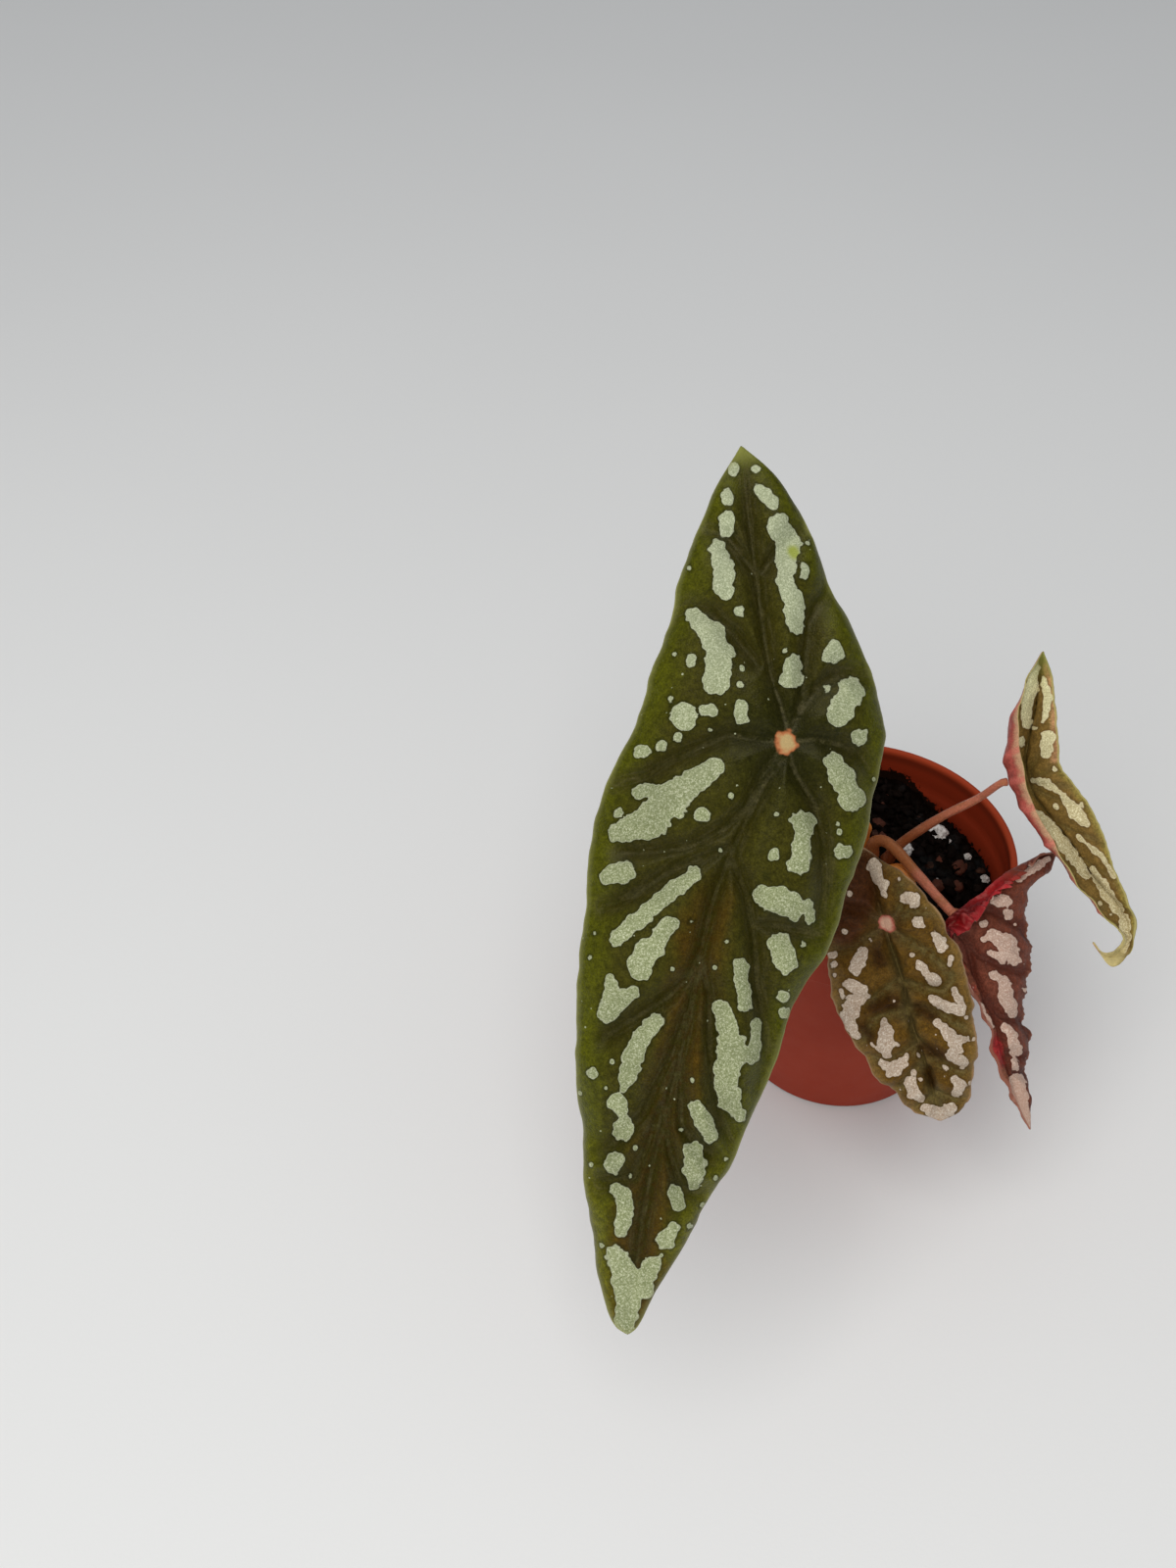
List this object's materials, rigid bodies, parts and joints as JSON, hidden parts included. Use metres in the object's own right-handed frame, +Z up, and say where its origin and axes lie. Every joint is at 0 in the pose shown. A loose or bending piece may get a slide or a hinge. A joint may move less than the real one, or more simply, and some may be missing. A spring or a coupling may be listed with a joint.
{
  "type": "potted begonia",
  "caption": "Small begonia with long silver-spotted leaves on thin stalks, growing from a short cane in a tapered plastic pot of peat.",
  "frame": {"origin": "middle of the pot's flat base, on the surface that it stands on", "axes": "+Z up along the pot's axis; the leaves lean out towards -Y, the side that the picture was taken from; +X is the picture's right"},
  "size_m": [0.0994, 0.1283, 0.1409],
  "materials": {
    "pot": "satin terracotta-coloured plastic, brighter at the lip",
    "soil": "damp crumbly peat with white perlite",
    "stem": "satin brown cane",
    "stipule": "papery, translucent orange-brown",
    "petiole": "satin brownish pink",
    "leaf_green": "satin dark green with silver-green spots, red underneath",
    "leaf_bronze": "satin olive brown with cream spots, red underneath",
    "leaf_red": "satin maroon with pinkish cream spots, crimson underneath",
    "leaf_olive": "satin olive green with cream spots, pink-red underneath"
  },
  "bodies": {
    "root": {"pot": "pot", "soil": "soil", "stem": "stem", "stipule_front": "stipule", "stipule_back": "stipule", "petiole_large": "petiole", "petiole_front": "petiole", "petiole_folded": "petiole", "petiole_curled": "petiole", "leaf_large": "leaf_green", "leaf_front": "leaf_bronze", "leaf_folded": "leaf_red", "leaf_curled": "leaf_olive"}
  },
  "joints": []
}
